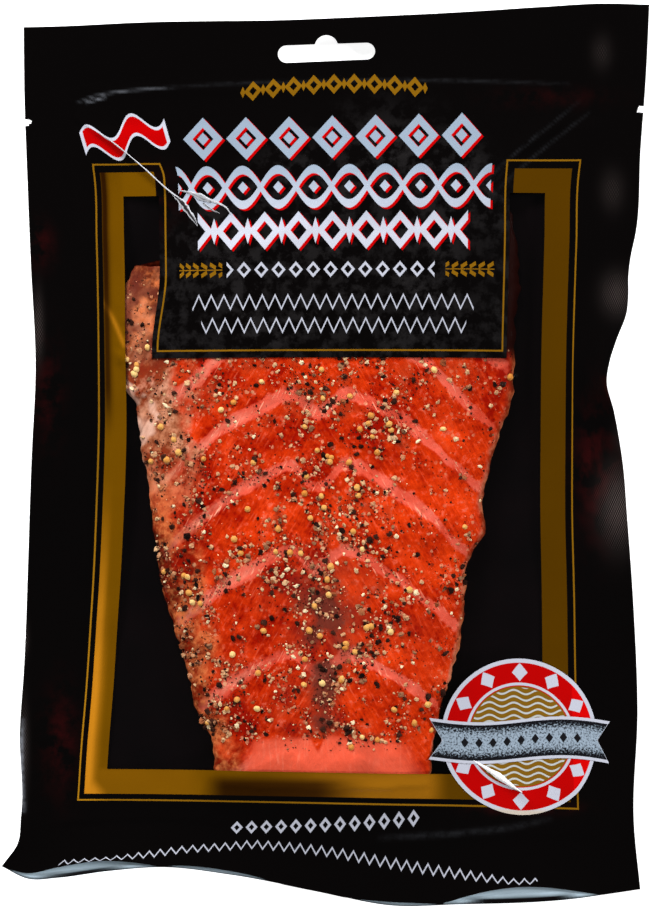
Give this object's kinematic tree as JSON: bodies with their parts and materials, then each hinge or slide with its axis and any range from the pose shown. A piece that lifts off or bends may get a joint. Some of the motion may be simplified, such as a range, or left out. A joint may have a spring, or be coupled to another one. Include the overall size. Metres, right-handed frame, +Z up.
{
  "type": "pack of smoked salmon",
  "caption": "Flat vacuum pouch of smoked salmon with a hang hole, tear notches, printed black film and a clear window over a fillet crusted with seeds and pepper.",
  "frame": {"origin": "middle of the pack in plan, on the table under it", "axes": "+Y along the pack towards the header with the hang hole, +X to the right of the printed side, +Z up out of the printed side"},
  "size_m": [0.2156, 0.3004, 0.0156],
  "materials": {
    "pouch_film": "glossy printed film, black with gold, red and pale print, and a clear window",
    "fish": null
  },
  "bodies": {
    "root": {"pouch": "pouch_film", "fillet": "fish"}
  },
  "joints": []
}
